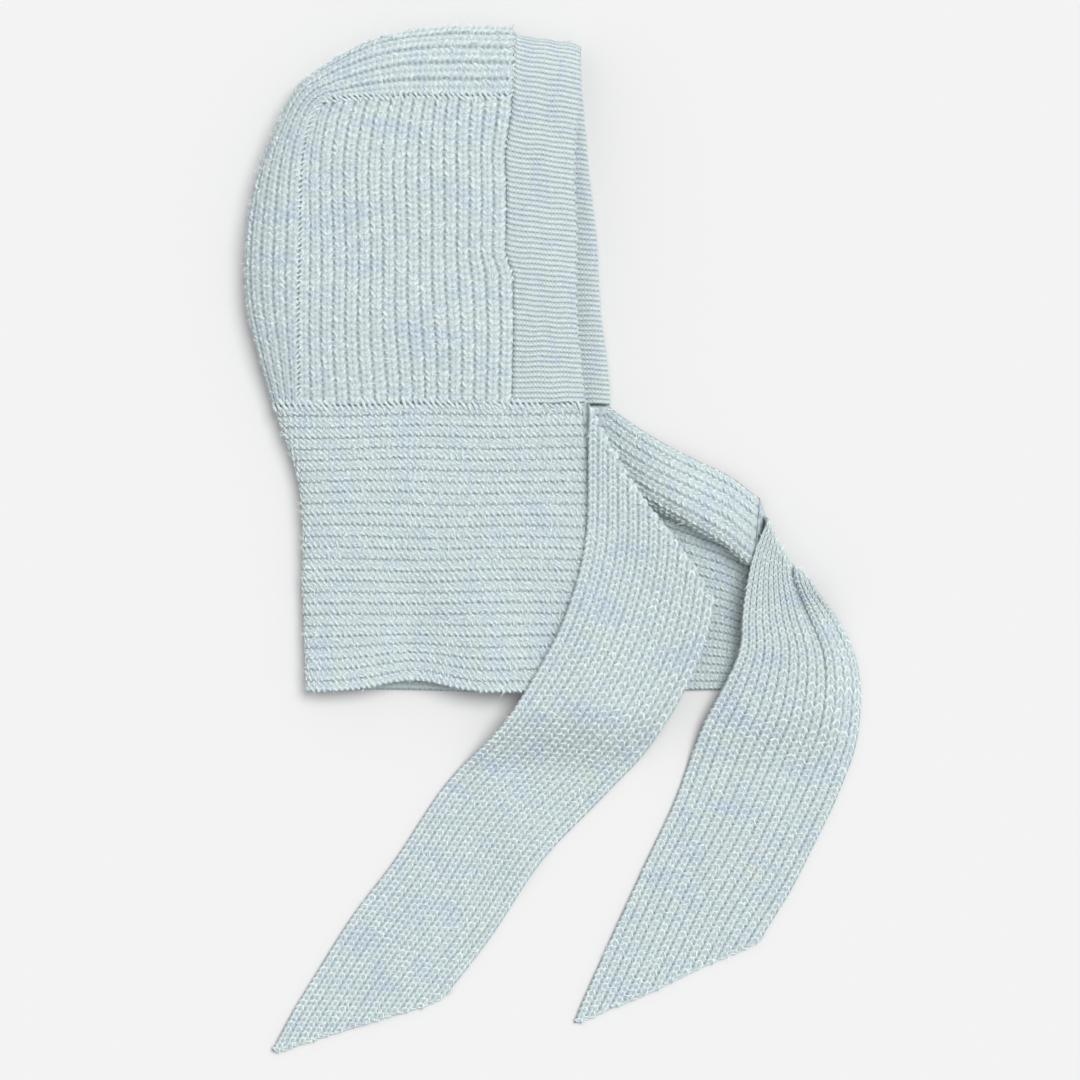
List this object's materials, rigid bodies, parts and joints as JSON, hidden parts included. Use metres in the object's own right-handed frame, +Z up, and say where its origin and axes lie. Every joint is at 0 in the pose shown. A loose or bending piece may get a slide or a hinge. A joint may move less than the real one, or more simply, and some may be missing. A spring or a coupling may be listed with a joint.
{
  "type": "knitted hooded scarf",
  "caption": "Soft rib-knit hood joined to a wide neck collar whose two long pointed ties lie folded and spread on a table.",
  "frame": {"origin": "middle of the footprint's box, on the table that the scarf lies on", "axes": "+Z up from the table, +Y towards the top of the hood, +X towards the face opening"},
  "size_m": [0.492, 0.824, 0.0446],
  "materials": {
    "hood_knit": "brushed mohair-like yarn in mint and pale blue melange, coarse rib",
    "band_knit": "the same brushed yarn in a fine doubled rib",
    "scarf_knit": "the same brushed yarn in a medium rib along the collar and ties"
  },
  "bodies": {
    "root": {"crown_panel": "hood_knit", "hood_side_near": "hood_knit", "hood_side_far": "hood_knit", "face_band": "band_knit", "neck_collar": "scarf_knit", "tie_near": "scarf_knit", "tie_far": "scarf_knit"}
  },
  "joints": []
}
